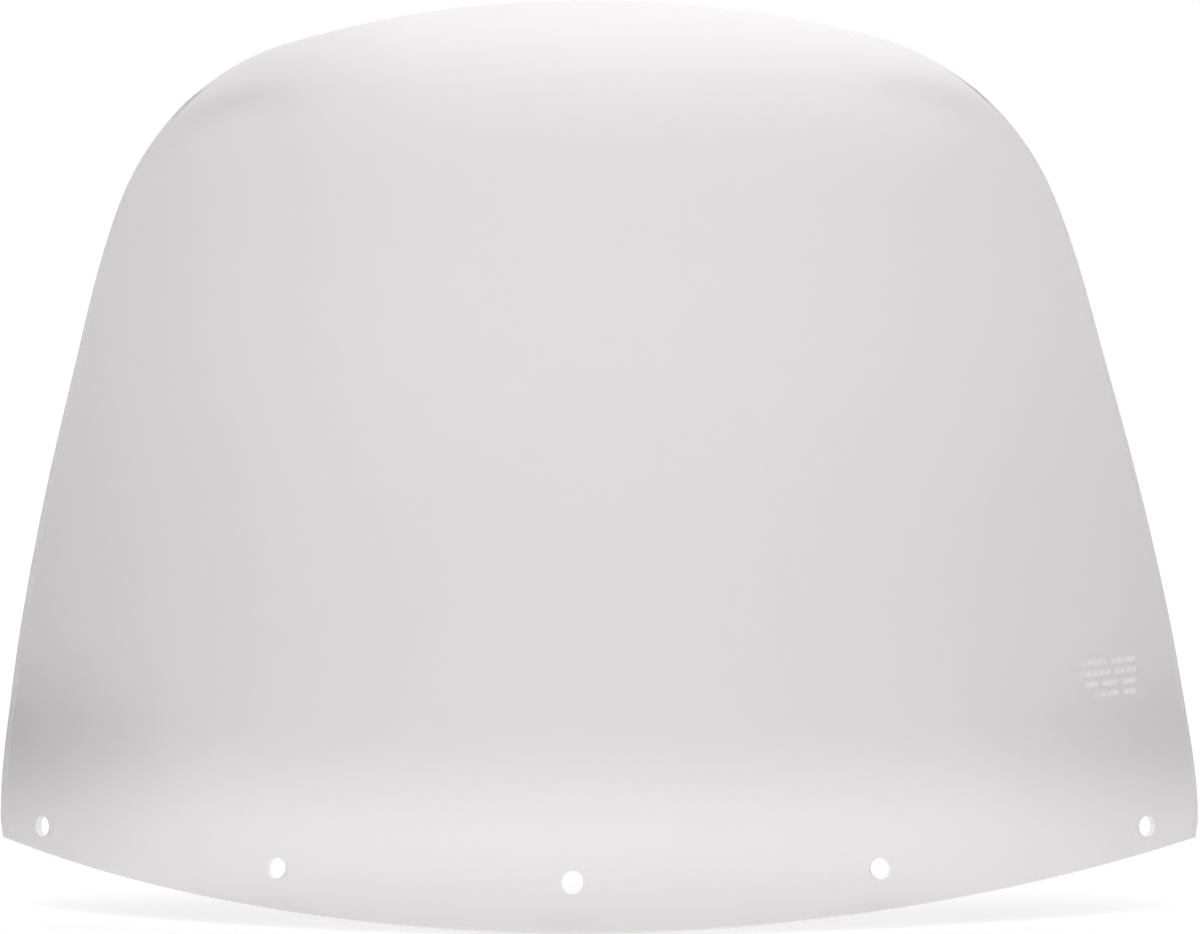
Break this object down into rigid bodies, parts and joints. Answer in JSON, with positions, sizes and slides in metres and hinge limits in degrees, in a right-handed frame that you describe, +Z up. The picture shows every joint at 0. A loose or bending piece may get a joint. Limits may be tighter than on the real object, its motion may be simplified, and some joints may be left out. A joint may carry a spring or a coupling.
{
  "type": "motorcycle windshield screen",
  "caption": "Clear thermoformed fairing windshield, wrapped from side to side, with a flared top lip, a kicked base and screw holes along the base edge.",
  "frame": {"origin": "middle of the centre screw hole, on the road face of the sheet", "axes": "+Z up, -Y towards the road, +X to the right as seen from the road side"},
  "size_m": [0.501, 0.1071, 0.3704],
  "materials": {
    "clear_sheet": "clear polished plastic sheet with a slight grey tint",
    "white_ink": "thin white screen print"
  },
  "bodies": {
    "root": {"screen_pane": "clear_sheet", "printed_mark": "white_ink"}
  },
  "joints": []
}
